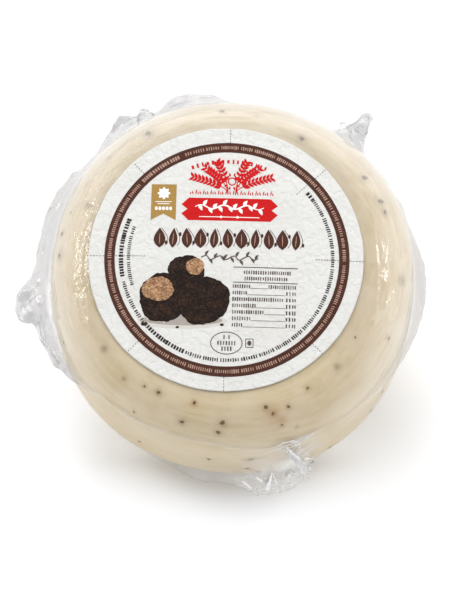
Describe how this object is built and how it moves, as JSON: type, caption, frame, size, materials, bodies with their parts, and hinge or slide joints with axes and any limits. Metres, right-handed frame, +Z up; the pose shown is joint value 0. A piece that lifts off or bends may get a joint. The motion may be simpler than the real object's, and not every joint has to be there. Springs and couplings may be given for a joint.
{
  "type": "truffle caciotta cheese",
  "caption": "Small round wheel of pale truffle caciotta in tight clear film with crumpled ears, and a round paper label on top.",
  "frame": {"origin": "middle of the flat base, on the wheel's axis", "axes": "+Z up, with the label on top; -Y is the shown front, where the film's skirt hangs; +X is the viewer's right"},
  "size_m": [0.1545, 0.1479, 0.0757],
  "materials": {
    "cheese": "pale ivory cheese under tight glossy clear film, with small dark truffle flecks",
    "clear_film": "thin clear glossy shrink film, crumpled at its ears",
    "label_paper": "white embossed paper with a brown printed ring"
  },
  "bodies": {
    "root": {"film_wrapped_wheel": "cheese", "paper_label": "label_paper"}
  },
  "joints": []
}
